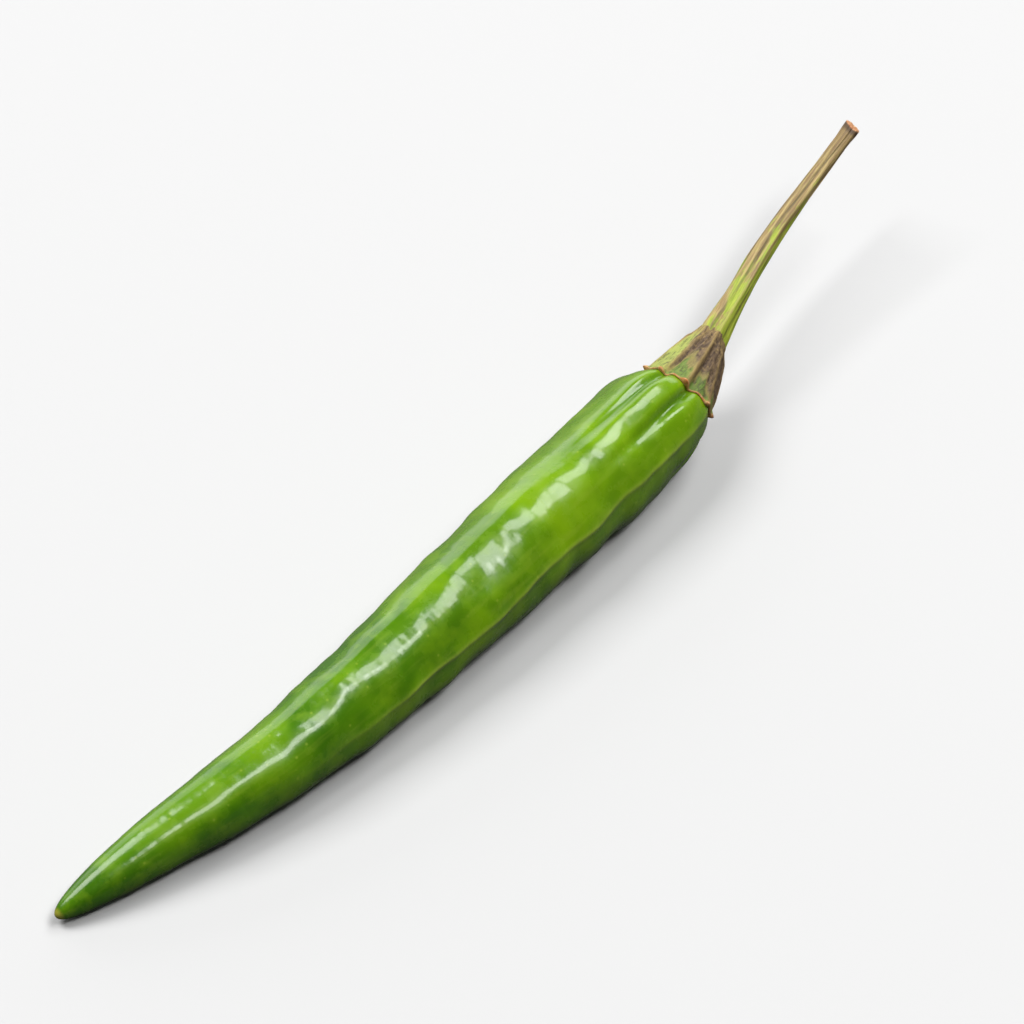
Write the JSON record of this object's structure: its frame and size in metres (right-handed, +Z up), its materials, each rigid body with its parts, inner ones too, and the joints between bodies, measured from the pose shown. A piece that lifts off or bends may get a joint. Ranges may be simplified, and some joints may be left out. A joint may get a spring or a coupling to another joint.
{
  "type": "chilli pepper",
  "caption": "Whole green finger chilli pepper lying on its side: a long, gently bowed, tapering pod, a five-toothed calyx over its shoulder and a thin ribbed stem.",
  "frame": {"origin": "on the surface that the chilli lies on, under the middle of its bounding box", "axes": "+X from the tip towards the stem, +Z up from the surface, and the middle of the pod swings towards -Y"},
  "size_m": [0.1544, 0.021, 0.0158],
  "materials": {
    "pod_skin": "waxy, glossy green skin, a little translucent, with paler yellow-green patches",
    "calyx_leaf": "matte green leaf tissue, browned in the middle, with a corky tan edge",
    "stem_fibre": "satin yellow-green ribbed fibre with brown streaks, browner towards the cut end"
  },
  "bodies": {
    "root": {"pod": "pod_skin", "calyx": "calyx_leaf", "stem": "stem_fibre"}
  },
  "joints": []
}
